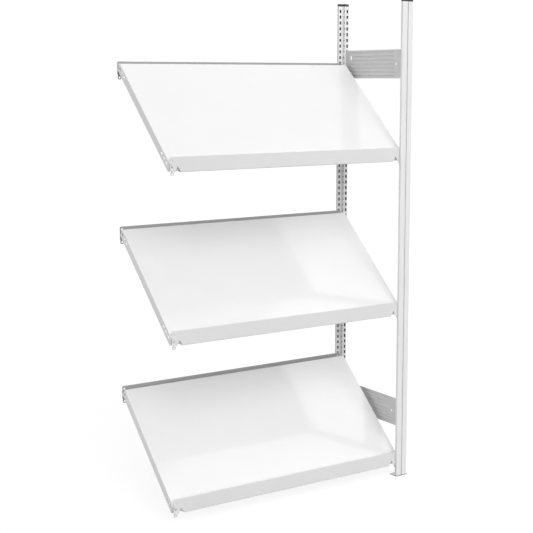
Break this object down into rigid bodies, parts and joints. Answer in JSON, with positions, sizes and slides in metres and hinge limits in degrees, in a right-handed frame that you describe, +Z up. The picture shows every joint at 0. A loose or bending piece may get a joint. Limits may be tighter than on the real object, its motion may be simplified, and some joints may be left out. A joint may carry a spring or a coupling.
{
  "type": "slanted shelving unit",
  "caption": "Add-on shelving bay with sloping trays behind upright lips, hung from slotted posts at one end that side braces tie together.",
  "frame": {"origin": "on the floor, at the centre of the bay's bounding box", "axes": "+X towards the posts' end, -Y out of the front, +Z up"},
  "size_m": [1.1366, 0.452, 2.0105],
  "materials": {
    "painted_post": "pale grey powder coat",
    "painted_shelf": "white powder coat",
    "painted_rail": "pale grey powder coat",
    "brace_steel": "galvanised sheet",
    "zinc_steel": "zinc plated",
    "cap_plastic": "moulded black plastic"
  },
  "bodies": {
    "root": {"front_post": "painted_post", "rear_post": "painted_post", "front_post_cap": "cap_plastic", "rear_post_cap": "cap_plastic", "front_foot": "zinc_steel", "rear_foot": "zinc_steel", "upper_side_brace": "brace_steel", "lower_side_brace": "brace_steel", "upper_brace_front_bolt_1": "zinc_steel", "upper_brace_front_bolt_2": "zinc_steel", "upper_brace_rear_bolt_1": "zinc_steel", "upper_brace_rear_bolt_2": "zinc_steel", "lower_brace_front_bolt_1": "zinc_steel", "lower_brace_front_bolt_2": "zinc_steel", "lower_brace_rear_bolt_1": "zinc_steel", "lower_brace_rear_bolt_2": "zinc_steel", "upper_brace_front_nut_1": "zinc_steel", "upper_brace_front_nut_2": "zinc_steel", "upper_brace_rear_nut_1": "zinc_steel", "upper_brace_rear_nut_2": "zinc_steel", "lower_brace_front_nut_1": "zinc_steel", "lower_brace_front_nut_2": "zinc_steel", "lower_brace_rear_nut_1": "zinc_steel", "lower_brace_rear_nut_2": "zinc_steel", "upper_shelf_tray": "painted_shelf", "middle_shelf_tray": "painted_shelf", "lower_shelf_tray": "painted_shelf", "upper_front_rail": "painted_rail", "middle_front_rail": "painted_rail", "lower_front_rail": "painted_rail", "upper_rear_rail": "painted_rail", "middle_rear_rail": "painted_rail", "lower_rear_rail": "painted_rail"}
  },
  "joints": []
}
